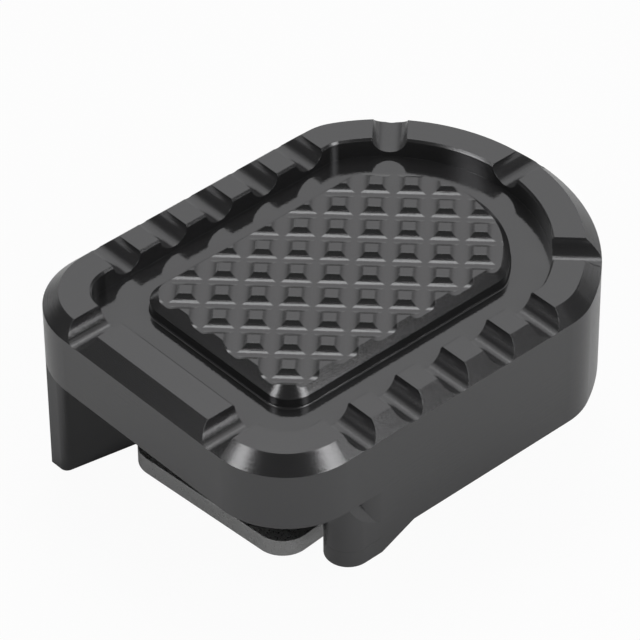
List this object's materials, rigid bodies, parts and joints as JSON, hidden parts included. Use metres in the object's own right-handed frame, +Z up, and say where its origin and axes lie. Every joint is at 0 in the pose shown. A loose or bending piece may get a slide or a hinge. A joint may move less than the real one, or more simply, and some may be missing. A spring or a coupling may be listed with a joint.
{
  "type": "brake pedal extension",
  "caption": "Machined D-shaped pedal pad with a grooved rim, a crossed-channel tread, a skirt with two legs and a screwed clamp plate.",
  "frame": {"origin": "on the pedal seat, the pad's flat underside, on its centre line and level with the two clamp screws", "axes": "+X from the flat end to the round end, +Z up, out of the tread"},
  "size_m": [0.0662, 0.05, 0.0272],
  "materials": {
    "anodised": "black anodised over fine machining marks",
    "plate_steel": "brushed",
    "screw_steel": "black oxide",
    "washer_steel": "plain"
  },
  "bodies": {
    "root": {"body": "anodised", "clamp_plate": "plate_steel", "clamp_screws": "screw_steel", "washers": "washer_steel"}
  },
  "joints": []
}
